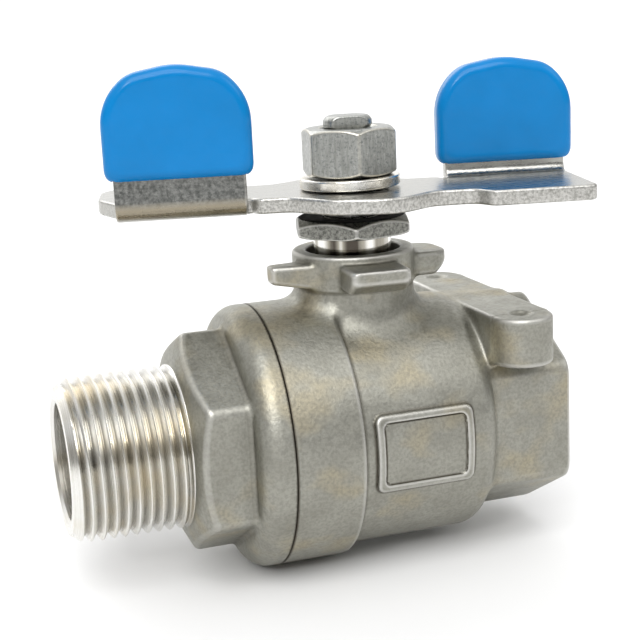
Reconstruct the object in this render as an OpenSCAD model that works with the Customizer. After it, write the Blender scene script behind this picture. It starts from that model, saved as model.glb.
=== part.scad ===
// Two-piece ball valve with a male thread, a female thread and a butterfly handle.
// Frame: origin where the pipe axis meets the stem axis (the centre of the ball),
// +X along the pipe to the female end, +Z up the stem. All sizes are in millimetres.

/* [Pipe ends] */
// Distance from the ball's centre to the male end face
male_end = 50.6; // [49.5:0.1:52]
// Distance from the ball's centre to the female end face
female_end = 31.3; // [31:0.1:33]
// Radius of the waterway, through the ball and both ends
port_r = 9.5; // [9:0.1:9.8]
// Radius over the crests of the male thread
male_thread_r = 13.2; // [12.9:0.1:13.4]
// Radius of the plain hole that stands for the female thread's crests
female_thread_r = 12.06; // [11.9:0.02:12.3]
// Depth of the female thread from the end face
female_thread_depth = 15.3; // [14.5:0.1:15.5]

/* [Body castings] */
// Distance from the ball's centre to the joint between cap and body
split_at = 18; // [17.8:0.1:18.4]
// Radius of the flange ring on both sides of the joint
ring_r = 21.65; // [21.3:0.05:22.2]
// Length of the body's flange ring
ring_len = 11.4; // [10:0.2:12]
// Radius of the body's barrel
barrel_r = 20.15; // [19.9:0.05:20.6]
// Distance from the ball's centre to the end of the barrel
barrel_end = 17; // [16.8:0.1:17.6]
// Width across the flats of the end cap's hexagon
cap_hex_af = 32.4; // [31.6:0.2:33]
// Width across the flats of the body's hexagon
body_hex_af = 32.8; // [32:0.2:33.4]
// Radius of the stem neck
neck_r = 10.05; // [9.9:0.05:10.4]
// Height of the neck's rim above the pipe axis
neck_top = 29.6; // [29.2:0.1:30]
// Reach of the front neck lug from the stem axis
lug_reach = 16.3; // [15.5:0.1:17]
// Width of the front and right neck lugs
lug_w = 9.7; // [8.5:0.1:10.5]
// Width of the left neck lug at its tip; it widens towards the neck
narrow_lug_w = 3.3; // [3:0.1:4]

/* [Ball and stem] */
// Radius of the ball
ball_r = 14.5; // [14.3:0.05:14.6]
// Radius of the stem where the packing seals it
stem_r = 4.5; // [4.4:0.05:4.55]
// Radius of the stem's threaded top
stem_thread_r = 4; // [3.9:0.05:4.1]
// Height of the stem's tip above the pipe axis
stem_top = 51.2; // [50.6:0.1:52]

/* [Handle] */
// Angle from fully open at which the handle stands, turned towards closed
rest_turn = 13; // [0:1:20]
// Thickness of the handle's plate
plate_t = 2.5; // [2.3:0.1:2.6]
// Distance from the stem axis to a wing's near edge
wing_near = 17.2; // [16.8:0.1:17.6]
// Distance from the stem axis to the plate's end
wing_far = 37.7; // [36.5:0.1:39]
// Distance from the handle's middle plane to a wing's outer face
wing_face = 9.7; // [9.4:0.1:10.2]
// Mean height of the wings' tops above the pipe axis
wing_top = 59.1; // [58:0.1:60.5]
// How far the left wing stands above that mean height, and the right wing below it
wing_step = 1.1; // [0:0.1:1.2]
// Thickness of the dipped sleeve on a wing
sleeve_t = 1.3; // [1:0.1:1.4]
// Width across the flats of the stem nut
nut_af = 14; // [13.6:0.1:14.6]

/* [Hidden] */
$fn = 96;
arc_steps = 6;
cut = 0.5;              // how far a cutting tool runs past the face it cuts
gap = 0.05;             // running clearance between pieces that slide on each other
skin = 0.02;            // clearance between pieces that only rest against each other
edge_r = 0.4;           // rounding of small machined edges

// Male end
male_chamfer = 2.1;
male_nose_r = 11.7;
cap_hex_start = 32;     // thread side of the cap's hexagon
cap_hex_end = 22.6;     // flange side of the cap's hexagon
cap_hex_collar_r = 14.2;
cap_hex_cone = 2;       // length of the cone on the thread side of the cap's hexagon
hex_round = 0.5;        // how far the cap's hexagon corners are rounded in
flange_round = 3.4;
flange_foot_r = 17.6;   // radius at which the flange leaves the hexagon
flange_foot = 0.4;
joint_chamfer = 0.3;    // chamfer of both castings where they meet

// Body
ring_step = 0.8;        // length of the step from the flange ring down to the barrel
barrel_round = 3;
body_hex_round = 0.2;   // how far the body's hexagon corners are rounded in
body_hex_start = 10;    // where the hexagon begins, inside the barrel
female_chamfer = 1.3;

// Seats, spigot and cavity
seat_outer_r = 13.5;
seat_round = 0.5;
seat_far = 13.5;        // far end of each seat from the ball's centre
seat_near = 8;          // near end of each seat
spigot_r = 17.95;
spigot_end = 9.5;
gasket_t = 1;
gasket_inner_r = 15.6;
cavity_r = 15.3;
cavity_end = 8.5;

// Stem line, heights above the pipe axis
slot_floor = 10.5;
slot_w = 6;
tang_half = 6;          // half the length of the stem's tang in the ball's slot
tang_gap = 0.3;         // room under the tang
stem_hole_floor = 8;    // height from which the stem's hole is open to the ball
collar_r = 6.2;
collar_bottom = 15;
collar_top = 17.6;
neck_floor = 18.6;      // top of the room for the collar and its thrust washer
neck_wall_r = stem_r + 0.1;
packing_floor = 21.4;
packing_r = 7;
packing_h = 0.9;
packing_base_h = 0.6;
chevron_rise = 0.5;
gland_h = 1;
packing_top = packing_floor + packing_base_h + 3 * packing_h;
gland_top = packing_top + gland_h;
packing_mid_r = (stem_r + packing_r) / 2;
gland_shank_r = 6.4;
gland_thread_top = 27.4;
neck_mouth_z = 27.6;    // floor of the wide mouth round the gland nut
gland_hex_z = 32.1;
gland_hex_top = 35;
gland_hex_af = 18;
gland_hex_turn = 14.5;
gland_corner_r = 10.4;
gland_low_r = 9.6;      // radius of the flat under the gland nut's hexagon
gland_low_chamfer = 0.5;
gland_top_r = 8.5;      // and of the flat on top of it
gland_top_chamfer = 1.1;
neck_mouth_r = 7.8;
ring_groove_z = 20;
ring_section_r = 0.5;
ring_groove_r = 3.5;

// Stem top and handle
plate_z = 36.9;
flats_half = 2.8;       // half the width across the stem's two flats
tip_chamfer = 0.6;
plate_top = plate_z + plate_t;
washer_r = 8.2;
washer_t = 2.2;
washer_split_w = 0.8;
bore_gap = 0.3;         // clearance of the washer and the gland nut round the stem
nut_z = plate_top + washer_t;
nut_h = 7.7;
nut_turn = 35.6;
nut_chamfer = 0.7;
nut_face_inset = 0.1;   // how far the nut's round end faces stay inside its flats
bend_r = 3.06;          // outer radius of the bend under a wing
shoulder_drop = 5.2;    // how far a wing's shoulders lie below its top
crest_in = 4.4;         // how far in from its sides its crest begins
crest_drop = 1.3;       // and how far below its top
sleeve_z = 42.3;        // mean height of the sleeves' lower edges
sleeve_hem_r = 0.6;
sleeve_top_r = 2;
washer_split = 25;      // angle of the spring washer's split from the handle's axis
end_run = 3.4;          // how far the plate's left end runs past the wing
end_back = 15.8;        // distance of that end's back edge from the handle's middle plane

// Neck, lugs and lock pad
neck_foot = 1.6;        // how much thicker the neck is at its foot
neck_foot_z = 17.5;
neck_waist_z = 20.6;
neck_collar_z = 23.6;   // where the neck widens again under its lugs
lug_start = 5;          // distance from the stem axis at which the lugs' outlines start, inside the neck
lug_top = 28.3;
lug_bottom = 24.4;
lug_chamfer = 2.8;      // length of the chamfer under a lug's tip
lug_tip_bottom = 26.3;
right_lug_reach = 15.5;
right_lug_corner = 3.2; // corner radius of the right lug seen from above
front_lug_corner = 1.3;
left_lug_reach = 15.6;
left_lug_bottom = 25.5; // height of the left lug's underside at its tip
left_lug_root = 23.5;   // and where it would reach lug_start
left_lug_side = 1.15;   // how far its far side stands off the middle plane at its tip
left_lug_near = 6.2;    // how far its near side would at lug_start
neck_undercut = 0.3;    // how much thinner the neck is below its lugs
front_lug_lean = 3.5;   // how far the front lug points away from square, towards the male end
pad_top = 19.2;
pad_near = 16.9;
pad_far = 27.1;
boss_x = 22;
boss_y = 17;
boss_r = 5.1;
boss_bottom = 11.2;
boss_edge_r = 0.6;
dimple_r = 1.9;
dimple_depth = 0.9;
dimple_floor_r = 0.3;

// Raised label field on the barrel, left blank
label_near = -4.5;
label_far = 11.9;
label_half = 6.3;
label_rise = 0.7;
label_rim = 1.3;
label_root = 15;        // depth to which the field reaches into the barrel

// Plate
plate_half_w = 13.4;
// Front half of the plate's outline, from the left relief slot to the right end
plate_front = [[-wing_near, -3.6, 0.5], [-15.9, -7.2, 2.2], [-10.5, -7.3, 3], [-4.5, -13.4, 4],
    [5.5, -15.9, 6], [12.2, -9.9, 4],
    [18.6, -9.9, 2.5], [20.8, -plate_half_w, 2], [wing_far, -plate_half_w, 1.6]];
plate_end = [[wing_far, wing_face - bend_r - 0.5], [wing_near, wing_face - bend_r - 0.5]];
plate_half = concat(plate_front, plate_end);
plate_other_half = [for (p = plate_half) len(p) < 3 ? -p : [-p[0], -p[1], p[2]]];

function unit(v) = v / norm(v);
function at_angle(r, a) = [r * cos(a), r * sin(a)];
function turn_between(a, b) = let (d = b - a) d > 180 ? d - 360 : (d < -180 ? d + 360 : d);
// The arc that rounds corner b, between its neighbours a and c, to radius r
function corner_arc(a, b, c, r) =
    let (u = unit(a - b), w = unit(c - b), half = acos(u * w) / 2)
    let (centre = b + unit(u + w) * r / sin(half), run = r / tan(half))
    let (from = b + u * run - centre, to = b + w * run - centre)
    let (a0 = atan2(from[1], from[0]), sweep = turn_between(a0, atan2(to[1], to[0])))
    [for (i = [0:arc_steps]) centre + at_angle(r, a0 + sweep * i / arc_steps)];
function xy(p) = [p[0], p[1]];
// A closed outline whose corners are [x, y] when sharp and [x, y, radius] when rounded
function outline(corners) =
    let (n = len(corners))
    [for (i = [0:n - 1])
        let (a = xy(corners[(i + n - 1) % n]), b = xy(corners[i]), c = xy(corners[(i + 1) % n]))
        each len(corners[i]) < 3 ? [b] : corner_arc(a, b, c, corners[i][2])];

// Revolves an outline of [along X, radius] corners about the pipe axis
module about_pipe(corners) {
    rotate([0, 90, 0])
        rotate_extrude()
            polygon([for (p = outline(corners)) [p[1], p[0]]]);
}

// Revolves an outline of [radius, height] corners about the stem axis
module about_stem(corners) {
    rotate_extrude()
        polygon(outline(corners));
}

// Hexagonal bar along the pipe with a corner at the top
module pipe_hex(af, from, to) {
    translate([from, 0, 0])
        rotate([0, 90, 0])
            cylinder(h = to - from, r = af / sqrt(3), $fn = 6);
}

// Hexagonal block around the stem axis
module stem_hex(af, from, to) {
    translate([0, 0, from])
        cylinder(h = to - from, r = af / sqrt(3), $fn = 6);
}

// Everything that the handle turns, at its rest angle
module turned() {
    rotate([0, 0, -rest_turn])
        children();
}

module end_cap() {
    hex_r = cap_hex_af / sqrt(3) - hex_round;
    color("silver")
    difference() {
        union() {
            about_pipe([[-male_end, 0], [-male_end, male_nose_r], [-male_end + male_chamfer, male_thread_r],
                [-cap_hex_start + 1, male_thread_r], [-cap_hex_start + 1, 0]]);
            intersection() {
                pipe_hex(cap_hex_af, -cap_hex_start, -cap_hex_end + 1);
                about_pipe([[-cap_hex_start, 0], [-cap_hex_start, cap_hex_collar_r],
                    [-cap_hex_start + cap_hex_cone, hex_r], [-cap_hex_end + 1, hex_r],
                    [-cap_hex_end + 1, 0]]);
            }
            about_pipe([[-cap_hex_end - flange_foot, 0], [-cap_hex_end - flange_foot, flange_foot_r],
                [-cap_hex_end, ring_r, flange_round], [-split_at - joint_chamfer, ring_r],
                [-split_at, ring_r - joint_chamfer], [-split_at, 0]]);
            about_pipe([[-split_at - 1, 0], [-split_at - 1, spigot_r], [-spigot_end, spigot_r],
                [-spigot_end, 0]]);
        }
        about_pipe([[-male_end - cut, 0], [-male_end - cut, port_r], [-spigot_end + cut, port_r],
            [-spigot_end + cut, 0]]);
        about_pipe([[-seat_far, 0], [-seat_far, seat_outer_r + gap],
            [-spigot_end + cut, seat_outer_r + gap],
            [-spigot_end + cut, 0]]);
    }
}

// A neck lug along +X, given its outlines seen from above and from the side
module neck_lug(plan, side) {
    intersection() {
        rotate([90, 0, 0])
            linear_extrude(4 * lug_w, center = true)
                polygon(outline(side));
        translate([0, 0, left_lug_root - 1])
            linear_extrude(lug_top - left_lug_root + 2)
                polygon(outline(plan));
    }
}

// A lug of full width, chamfered under its tip, its corners seen from above rounded to radius r
module wide_lug(reach, r) {
    half = lug_w / 2;
    neck_lug([[lug_start, -half], [reach, -half, r], [reach, half, r], [lug_start, half]],
        [[lug_start, lug_bottom], [reach - lug_chamfer, lug_bottom, 1], [reach, lug_tip_bottom, 0.8],
            [reach, lug_top, 0.7], [lug_start, lug_top]]);
}

module left_lug() {
    rotate([0, 0, 180])
        neck_lug([[lug_start, 0], [left_lug_reach, left_lug_side, 1],
            [left_lug_reach, left_lug_side + narrow_lug_w, 1], [lug_start, left_lug_near]],
            [[lug_start, left_lug_root], [left_lug_reach, left_lug_bottom, 0.8],
                [left_lug_reach, lug_top, 0.7], [lug_start, lug_top]]);
}

module lock_pad() {
    translate([pad_near, -boss_y, boss_bottom])
        cube([pad_far - pad_near, 2 * boss_y, pad_top - boss_bottom]);
    for (side = [-1, 1])
        translate([boss_x, side * boss_y, 0])
            difference() {
                about_stem([[0, boss_bottom], [boss_r, boss_bottom, 1], [boss_r, pad_top, boss_edge_r],
                    [0, pad_top]]);
                translate([0, 0, pad_top - dimple_depth])
                    cylinder(h = 2 * dimple_depth, r1 = dimple_floor_r, r2 = 2 * dimple_r - dimple_floor_r);
            }
}

module label_field() {
    width = label_far - label_near;
    intersection() {
        about_pipe([[label_near, 0], [label_near, barrel_r + label_rise],
            [label_far, barrel_r + label_rise], [label_far, 0]]);
        translate([label_near, -ring_r, -label_half])
            cube([width, ring_r - label_root, 2 * label_half]);
        difference() {
            translate([label_near - 1, -ring_r - 1, -label_half - 1])
                cube([width + 2, ring_r, 2 * label_half + 2]);
            difference() {
                translate([label_near + label_rim, -ring_r - 1, -label_half + label_rim])
                    cube([width - 2 * label_rim, ring_r, 2 * (label_half - label_rim)]);
                about_pipe([[label_near - 1, 0], [label_near - 1, barrel_r + label_rise / 2],
                    [label_far + 1, barrel_r + label_rise / 2], [label_far + 1, 0]]);
            }
        }
    }
}

module body() {
    hex_r = body_hex_af / sqrt(3) - body_hex_round;
    waist_r = neck_r - neck_undercut;
    thread_floor = female_end - female_thread_depth;
    color("silver")
    difference() {
        union() {
            about_pipe([[-split_at, 0], [-split_at, ring_r - joint_chamfer],
                [-split_at + joint_chamfer, ring_r], [-split_at + ring_len, ring_r, 1],
                [-split_at + ring_len + ring_step, barrel_r], [barrel_end, barrel_r, barrel_round],
                [barrel_end, 0]]);
            intersection() {
                pipe_hex(body_hex_af, body_hex_start, female_end);
                about_pipe([[body_hex_start, 0], [body_hex_start, hex_r], [female_end, hex_r, 1],
                    [female_end, 0]]);
            }
            about_stem([[0, stem_hole_floor], [neck_r + neck_foot, stem_hole_floor],
                [neck_r + neck_foot, neck_foot_z], [waist_r, neck_waist_z], [waist_r, neck_collar_z],
                [neck_r, neck_collar_z + neck_undercut], [neck_r, neck_top, 0.5], [0, neck_top]]);
            wide_lug(right_lug_reach, right_lug_corner);
            rotate([0, 0, -90 - front_lug_lean])
                wide_lug(lug_reach, front_lug_corner);
            left_lug();
            lock_pad();
            label_field();
        }
        // Room for the cap's spigot, the gasket and the ball, then the seat and the waterway
        about_pipe([[-split_at - cut, 0], [-split_at - cut, spigot_r + gap],
            [-spigot_end + gasket_t, spigot_r + gap], [-spigot_end + gasket_t, cavity_r],
            [cavity_end, cavity_r], [cavity_end, seat_outer_r + gap], [seat_far, seat_outer_r + gap],
            [seat_far, 0]]);
        about_pipe([[seat_far - 1, 0], [seat_far - 1, port_r], [thread_floor + 1, port_r],
            [thread_floor + 1, 0]]);
        about_pipe([[thread_floor, 0], [thread_floor, female_thread_r],
            [female_end - female_chamfer, female_thread_r], [female_end, female_thread_r + female_chamfer],
            [female_end + cut, female_thread_r + female_chamfer], [female_end + cut, 0]]);
        // Stepped hole for the stem, its collar, the packing and the gland
        translate([0, 0, stem_hole_floor])
            cylinder(h = neck_floor - stem_hole_floor, r = collar_r + 0.2);
        translate([0, 0, neck_floor - 1])
            cylinder(h = packing_floor - neck_floor + 2, r = neck_wall_r);
        about_stem([[0, packing_floor], [packing_r, packing_floor], [packing_r, neck_mouth_z],
            [neck_mouth_r, neck_mouth_z], [neck_mouth_r, neck_top + cut], [0, neck_top + cut]]);
    }
}

module ball() {
    color("gainsboro")
    turned()
        difference() {
            sphere(r = ball_r);
            translate([-ball_r - cut, 0, 0])
                rotate([0, 90, 0])
                    cylinder(h = 2 * ball_r + 2 * cut, r = port_r);
            translate([-slot_w / 2, -ball_r, slot_floor])
                cube([slot_w, 2 * ball_r, ball_r]);
        }
}

// Seat ring on the +X side; its face is a zone of a sphere just clear of the ball
module seat_ring() {
    color("white")
    difference() {
        about_pipe([[seat_near, port_r + gap], [seat_near, seat_outer_r, seat_round],
            [seat_far, seat_outer_r],
            [seat_far, port_r + gap]]);
        sphere(r = ball_r + gap);
    }
}

module seat_ring_body_side() {
    seat_ring();
}

module seat_ring_cap_side() {
    mirror([1, 0, 0])
        seat_ring();
}

module cap_gasket() {
    color("white")
    about_pipe([[-spigot_end, gasket_inner_r], [-spigot_end, spigot_r], [-spigot_end + gasket_t, spigot_r],
        [-spigot_end + gasket_t, gasket_inner_r]]);
}

module stem() {
    groove = [ring_groove_z - ring_section_r - 0.1, ring_groove_z + ring_section_r + 0.1];
    color("gainsboro")
    turned() {
        about_stem([[0, collar_bottom], [collar_r, collar_bottom, edge_r], [collar_r, collar_top, edge_r],
            [stem_r, collar_top], [stem_r, groove[0]], [ring_groove_r, groove[0]],
            [ring_groove_r, groove[1]], [stem_r, groove[1]], [stem_r, plate_z], [0, plate_z]]);
        intersection() {
            about_stem([[0, plate_z - 1], [stem_thread_r, plate_z - 1],
                [stem_thread_r, stem_top - tip_chamfer],
                [stem_thread_r - tip_chamfer, stem_top], [0, stem_top]]);
            translate([-stem_r, -flats_half, plate_z - 1])
                cube([2 * stem_r, 2 * flats_half, stem_top]);
        }
        intersection() {
            translate([-slot_w / 2 + gap, -tang_half, slot_floor + tang_gap])
                cube([slot_w - 2 * gap, 2 * tang_half, collar_bottom - slot_floor]);
            cylinder(h = collar_bottom + 1, r = collar_r);
        }
    }
}

module thrust_washer() {
    color("white")
    about_stem([[neck_wall_r, collar_top + gap], [collar_r, collar_top + gap], [collar_r, neck_floor],
        [neck_wall_r, neck_floor]]);
}

module stem_o_ring() {
    color("black")
    translate([0, 0, ring_groove_z])
        rotate_extrude()
            translate([ring_groove_r + skin + ring_section_r, 0])
                circle(r = ring_section_r, $fn = 24);
}

// One chevron ring of the packing, standing on height z
module chevron(z) {
    color("white")
    about_stem([[stem_r + gap, z], [packing_mid_r, z + chevron_rise], [packing_r - skin, z],
        [packing_r - skin, z + packing_h], [packing_mid_r, z + packing_h + chevron_rise],
        [stem_r + gap, z + packing_h]]);
}

module packing_base_ring() {
    top = packing_floor + packing_base_h;
    color("white")
    about_stem([[stem_r + gap, packing_floor], [packing_r - skin, packing_floor], [packing_r - skin, top],
        [packing_mid_r, top + chevron_rise], [stem_r + gap, top]]);
}

module packing_ring_lower() {
    chevron(packing_floor + packing_base_h);
}

module packing_ring_middle() {
    chevron(packing_floor + packing_base_h + packing_h);
}

module packing_ring_upper() {
    chevron(packing_floor + packing_base_h + 2 * packing_h);
}

module gland_follower() {
    color("gainsboro")
    about_stem([[stem_r + gap, packing_top], [packing_mid_r, packing_top + chevron_rise],
        [packing_r - skin, packing_top], [packing_r - skin, gland_top], [stem_r + gap, gland_top]]);
}

module gland_nut() {
    color("silver")
    rotate([0, 0, gland_hex_turn])
        difference() {
            union() {
                about_stem([[0, gland_top], [packing_r - skin, gland_top],
                    [packing_r - skin, gland_thread_top], [gland_shank_r, gland_thread_top + edge_r],
                    [gland_shank_r, gland_hex_z + 1], [0, gland_hex_z + 1]]);
                intersection() {
                    stem_hex(gland_hex_af, gland_hex_z, gland_hex_top);
                    about_stem([[0, gland_hex_z], [gland_low_r, gland_hex_z],
                        [gland_corner_r, gland_hex_z + gland_low_chamfer],
                        [gland_corner_r, gland_hex_top - gland_top_chamfer], [gland_top_r, gland_hex_top],
                        [0, gland_hex_top]]);
                }
            }
            translate([0, 0, gland_top - cut])
                cylinder(h = gland_hex_top - gland_top + 2 * cut, r = stem_r + bore_gap);
        }
}

// Outline of one wing, seen along its thickness: [distance from the stem axis, height]
function wing_outline(grow, rise) =
    let (near = wing_near - grow, far = wing_far + grow, top = wing_top + rise + grow)
    [[near, top - shoulder_drop, 9], [near + crest_in, top - crest_drop, 6], [(near + far) / 2, top, 14],
        [far - crest_in, top - crest_drop, 6], [far, top - shoulder_drop, 9]];

// A slab along the handle at +Y, cut to the wing's outline above height z
module wing_slab(z, grow, rise, from_y, to_y) {
    near = wing_near - grow;
    far = wing_far + grow;
    translate([0, to_y, 0])
        rotate([90, 0, 0])
            linear_extrude(to_y - from_y)
                polygon(outline(concat([[far, z], [near, z]], wing_outline(grow, rise))));
}

// The bent-up wing at +X, +Y, its top raised by rise
module wing(rise) {
    inner_r = bend_r - plate_t;
    face = wing_face;
    intersection() {
        wing_slab(plate_z - 1, 0, rise, 0, face + 1);
        translate([wing_near, 0, 0])
            rotate([90, 0, 90])
                linear_extrude(wing_far - wing_near)
                    polygon(outline([[face - bend_r - 1, plate_z], [face, plate_z, bend_r],
                        [face, wing_top + rise], [face - plate_t, wing_top + rise],
                        [face - plate_t, plate_top, inner_r], [face - bend_r - 1, plate_top]]));
    }
}

// Outline of the plate's left end, which runs past the wing and past the back edge
module long_end() {
    polygon(outline([[-wing_near - 4, plate_half_w - 1], [-wing_near - 10, end_back, 6],
        [-wing_far - end_run, end_back, 5], [-wing_far - end_run, 3, 7],
        [-wing_far + 1, bend_r + 0.5 - wing_face]]));
}

module handle_plate() {
    color("silver")
    turned()
        difference() {
            union() {
                translate([0, 0, plate_z])
                    linear_extrude(plate_t) {
                        polygon(outline(concat(plate_half, plate_other_half)));
                        long_end();
                    }
                wing(-wing_step);
                rotate([0, 0, 180])
                    wing(wing_step);
            }
            intersection() {
                translate([0, 0, plate_z - cut])
                    cylinder(h = plate_t + 2 * cut, r = stem_thread_r + gap);
                translate([-stem_r - 1, -flats_half - gap, plate_z - 1])
                    cube([2 * stem_r + 2, 2 * (flats_half + gap), plate_t + 2]);
            }
        }
}

// Dipped sleeve over the wing at +X, +Y, raised by rise
module grip(rise) {
    hem_z = sleeve_z + rise;
    top_z = wing_top + rise + sleeve_t;
    outer = wing_face + sleeve_t;
    inner = wing_face - plate_t - sleeve_t;
    color("dodgerblue")
    difference() {
        intersection() {
            wing_slab(hem_z, sleeve_t, rise, inner, outer);
            translate([wing_near - 2 * sleeve_t, 0, 0])
                rotate([90, 0, 90])
                    linear_extrude(wing_far - wing_near + 4 * sleeve_t)
                        polygon(outline([[outer, hem_z, sleeve_hem_r], [outer, top_z, sleeve_top_r],
                            [inner, top_z, sleeve_top_r], [inner, hem_z, sleeve_hem_r]]));
        }
        wing_slab(hem_z - 1, skin, rise, wing_face - plate_t - skin, wing_face + skin);
    }
}

module grip_right() {
    turned()
        grip(-wing_step);
}

module grip_left() {
    turned()
        rotate([0, 0, 180])
            grip(wing_step);
}

module spring_washer() {
    color("gainsboro")
    turned()
        difference() {
            about_stem([[stem_thread_r + bore_gap, plate_top], [washer_r, plate_top, edge_r],
                [washer_r, plate_top + washer_t, edge_r],
                [stem_thread_r + bore_gap, plate_top + washer_t]]);
            rotate([0, 0, washer_split])
                translate([0, -washer_split_w / 2, plate_top - cut])
                    cube([washer_r + 1, washer_split_w, washer_t + 2 * cut]);
        }
}

module stem_nut() {
    corner = nut_af / sqrt(3);
    face_r = nut_af / 2 - nut_face_inset;
    nut_top = nut_z + nut_h;
    color("silver")
    turned()
        rotate([0, 0, nut_turn])
            difference() {
                intersection() {
                    stem_hex(nut_af, nut_z, nut_top);
                    about_stem([[0, nut_z], [face_r, nut_z], [corner, nut_z + nut_chamfer],
                        [corner, nut_top - nut_chamfer], [face_r, nut_top], [0, nut_top]]);
                }
                translate([0, 0, nut_z - cut])
                    cylinder(h = nut_h + 2 * cut, r = stem_thread_r + skin);
            }
}

body();
end_cap();
ball();
seat_ring_cap_side();
seat_ring_body_side();
cap_gasket();
stem();
thrust_washer();
stem_o_ring();
packing_base_ring();
packing_ring_lower();
packing_ring_middle();
packing_ring_upper();
gland_follower();
gland_nut();
handle_plate();
grip_left();
grip_right();
spring_washer();
stem_nut();
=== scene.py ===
"""Looks of a two-piece ball valve with a butterfly handle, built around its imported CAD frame.

The pieces are sculpted as distance fields and meshed at a fine voxel, except for the two threads, which
are swept along their helices. Shapes are worked out in millimetres in the CAD's own frame (origin at the
ball's centre, +X out of the female end, +Z up the stem) and scaled to metres.
"""
import math

import bmesh
import bpy
import numpy as np
import openvdb
from mathutils import Matrix, Vector


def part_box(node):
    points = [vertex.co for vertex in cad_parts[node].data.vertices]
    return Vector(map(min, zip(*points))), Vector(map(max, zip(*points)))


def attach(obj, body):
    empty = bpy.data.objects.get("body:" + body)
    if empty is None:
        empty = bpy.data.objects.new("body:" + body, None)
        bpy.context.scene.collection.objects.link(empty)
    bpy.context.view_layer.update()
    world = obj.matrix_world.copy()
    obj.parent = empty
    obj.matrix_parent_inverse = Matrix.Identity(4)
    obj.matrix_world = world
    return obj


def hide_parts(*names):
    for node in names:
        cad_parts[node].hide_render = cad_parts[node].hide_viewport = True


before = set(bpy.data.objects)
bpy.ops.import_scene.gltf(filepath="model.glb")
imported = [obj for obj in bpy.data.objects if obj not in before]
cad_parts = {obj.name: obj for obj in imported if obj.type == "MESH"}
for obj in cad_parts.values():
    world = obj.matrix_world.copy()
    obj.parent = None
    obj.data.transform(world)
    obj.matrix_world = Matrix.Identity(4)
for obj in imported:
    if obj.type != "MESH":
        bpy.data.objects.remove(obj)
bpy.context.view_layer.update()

MM = 0.001


def node_box(node):
    """Lowest and highest corner of a CAD node, in millimetres."""
    low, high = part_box(node)
    return np.array(low) / MM, np.array(high) / MM


body_low, body_high = node_box("body")
cap_low, cap_high = node_box("end_cap")
plate_low, plate_high = node_box("handle_plate")
nut_low, nut_high = node_box("stem_nut")
washer_low, washer_high = node_box("spring_washer")
gland_low, gland_high = node_box("gland_nut")
stem_low, stem_high = node_box("stem")
ball_low, ball_high = node_box("ball")

# ---------------------------------------------------------------- driving sizes, in millimetres
MALE_END = -cap_low[0]
FEMALE_END = body_high[0]
SPLIT = -body_low[0]  # where the two castings meet, on the -X side
RING_R = -body_low[2]
NECK_TOP = body_high[2]
PLATE_Z = plate_low[2]
NUT_Z = nut_low[2]
NUT_TOP = nut_high[2]
STEM_TOP = stem_high[2]
WING_STEP = 1.1  # the left wing stands this much above the mean of the two, the right one below it
WING_TOP = plate_high[2] - WING_STEP
PORT_R = 9.5
BARREL_R = 20.15
BARREL_END = 17.0
RING_END = -6.6
CAP_HEX_AF = 32.4
BODY_HEX_AF = 32.8
NECK_R = 10.05
LUG_START = 5.0  # where the lugs' outlines begin, inside the neck
LUG_TOP = 28.3
SEAT_R = 13.55
SPIGOT_R = 17.95
SPIGOT_END = 9.5
STEM_R = 4.5
COLLAR_R = 6.2
FLATS_HALF = 2.8
PACKING_R = 7.0
GLAND_HEX_Z = 32.1
GLAND_TURN = math.radians(14.5)
REST_TURN = math.radians(-13)
NUT_TURN = REST_TURN + math.radians(35.6)
SPLIT_TURN = REST_TURN + math.radians(25)  # where the spring washer is split
PLATE_T = 2.5
PLATE_HALF_W = 13.4
BEND_R = 3.06
WING_NEAR, WING_FAR, WING_FACE = 17.2, 37.7, 9.7
SLEEVE_T = 1.3
SLEEVE_Z = 42.3
THREAD_PITCH = 1.814
THREAD_DEPTH = 1.16
THREAD_MID_R = 12.6
THREAD_START = -31.5  # inner end of the male thread
SOCKET_FLOOR = 16.0  # inner end of the female thread

# ---------------------------------------------------------------- outlines


def corner_arc(a, b, c, radius, steps=8):
    """Points that round corner b, between its neighbours a and c."""
    u = (a - b) / np.linalg.norm(a - b)
    w = (c - b) / np.linalg.norm(c - b)
    half = math.acos(float(np.clip(u @ w, -1, 1))) / 2
    middle = (u + w) / np.linalg.norm(u + w)
    centre = b + middle * radius / math.sin(half)
    start = b + u * radius / math.tan(half) - centre
    end = b + w * radius / math.tan(half) - centre
    first = math.atan2(start[1], start[0])
    sweep = (math.atan2(end[1], end[0]) - first + math.pi) % (2 * math.pi) - math.pi
    angles = [first + sweep * i / steps for i in range(steps + 1)]
    return [centre + radius * np.array([math.cos(t), math.sin(t)]) for t in angles]


def outline(corners):
    """A closed outline; a corner is (x, y) when sharp and (x, y, radius) when rounded."""
    points = []
    for i, corner in enumerate(corners):
        a, b, c = (np.array(corners[j % len(corners)][:2], float) for j in (i - 1, i, i + 1))
        points += [b] if len(corner) < 3 else corner_arc(a, b, c, corner[2])
    return np.array(points)


# ---------------------------------------------------------------- distance fields


def meet(a, b, soft=0.0):
    """Distance to what two fields share, with the edge between them rounded by soft."""
    if soft <= 0:
        return np.maximum(a, b)
    h = np.maximum(soft - np.abs(a - b), 0) / soft
    return np.maximum(a, b) + h * h * soft / 4


def join(a, b, soft=0.0):
    """Distance to two fields together, with the corner between them filleted by soft."""
    return -meet(-a, -b, soft)


def without(a, b, soft=0.0):
    """Distance to a with b cut out of it, its new edges rounded by soft."""
    return meet(a, -b, soft)


def rounded(d, e, edge):
    """Crosses two distances, with the edge between them rounded to a true radius."""
    outside = np.hypot(np.maximum(d + edge, 0), np.maximum(e + edge, 0))
    return np.minimum(np.maximum(d + edge, e + edge), 0) + outside - edge


def span(w, low, high):
    """Distance to a slab between low and high."""
    return np.abs(w - (low + high) / 2) - (high - low) / 2


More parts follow.
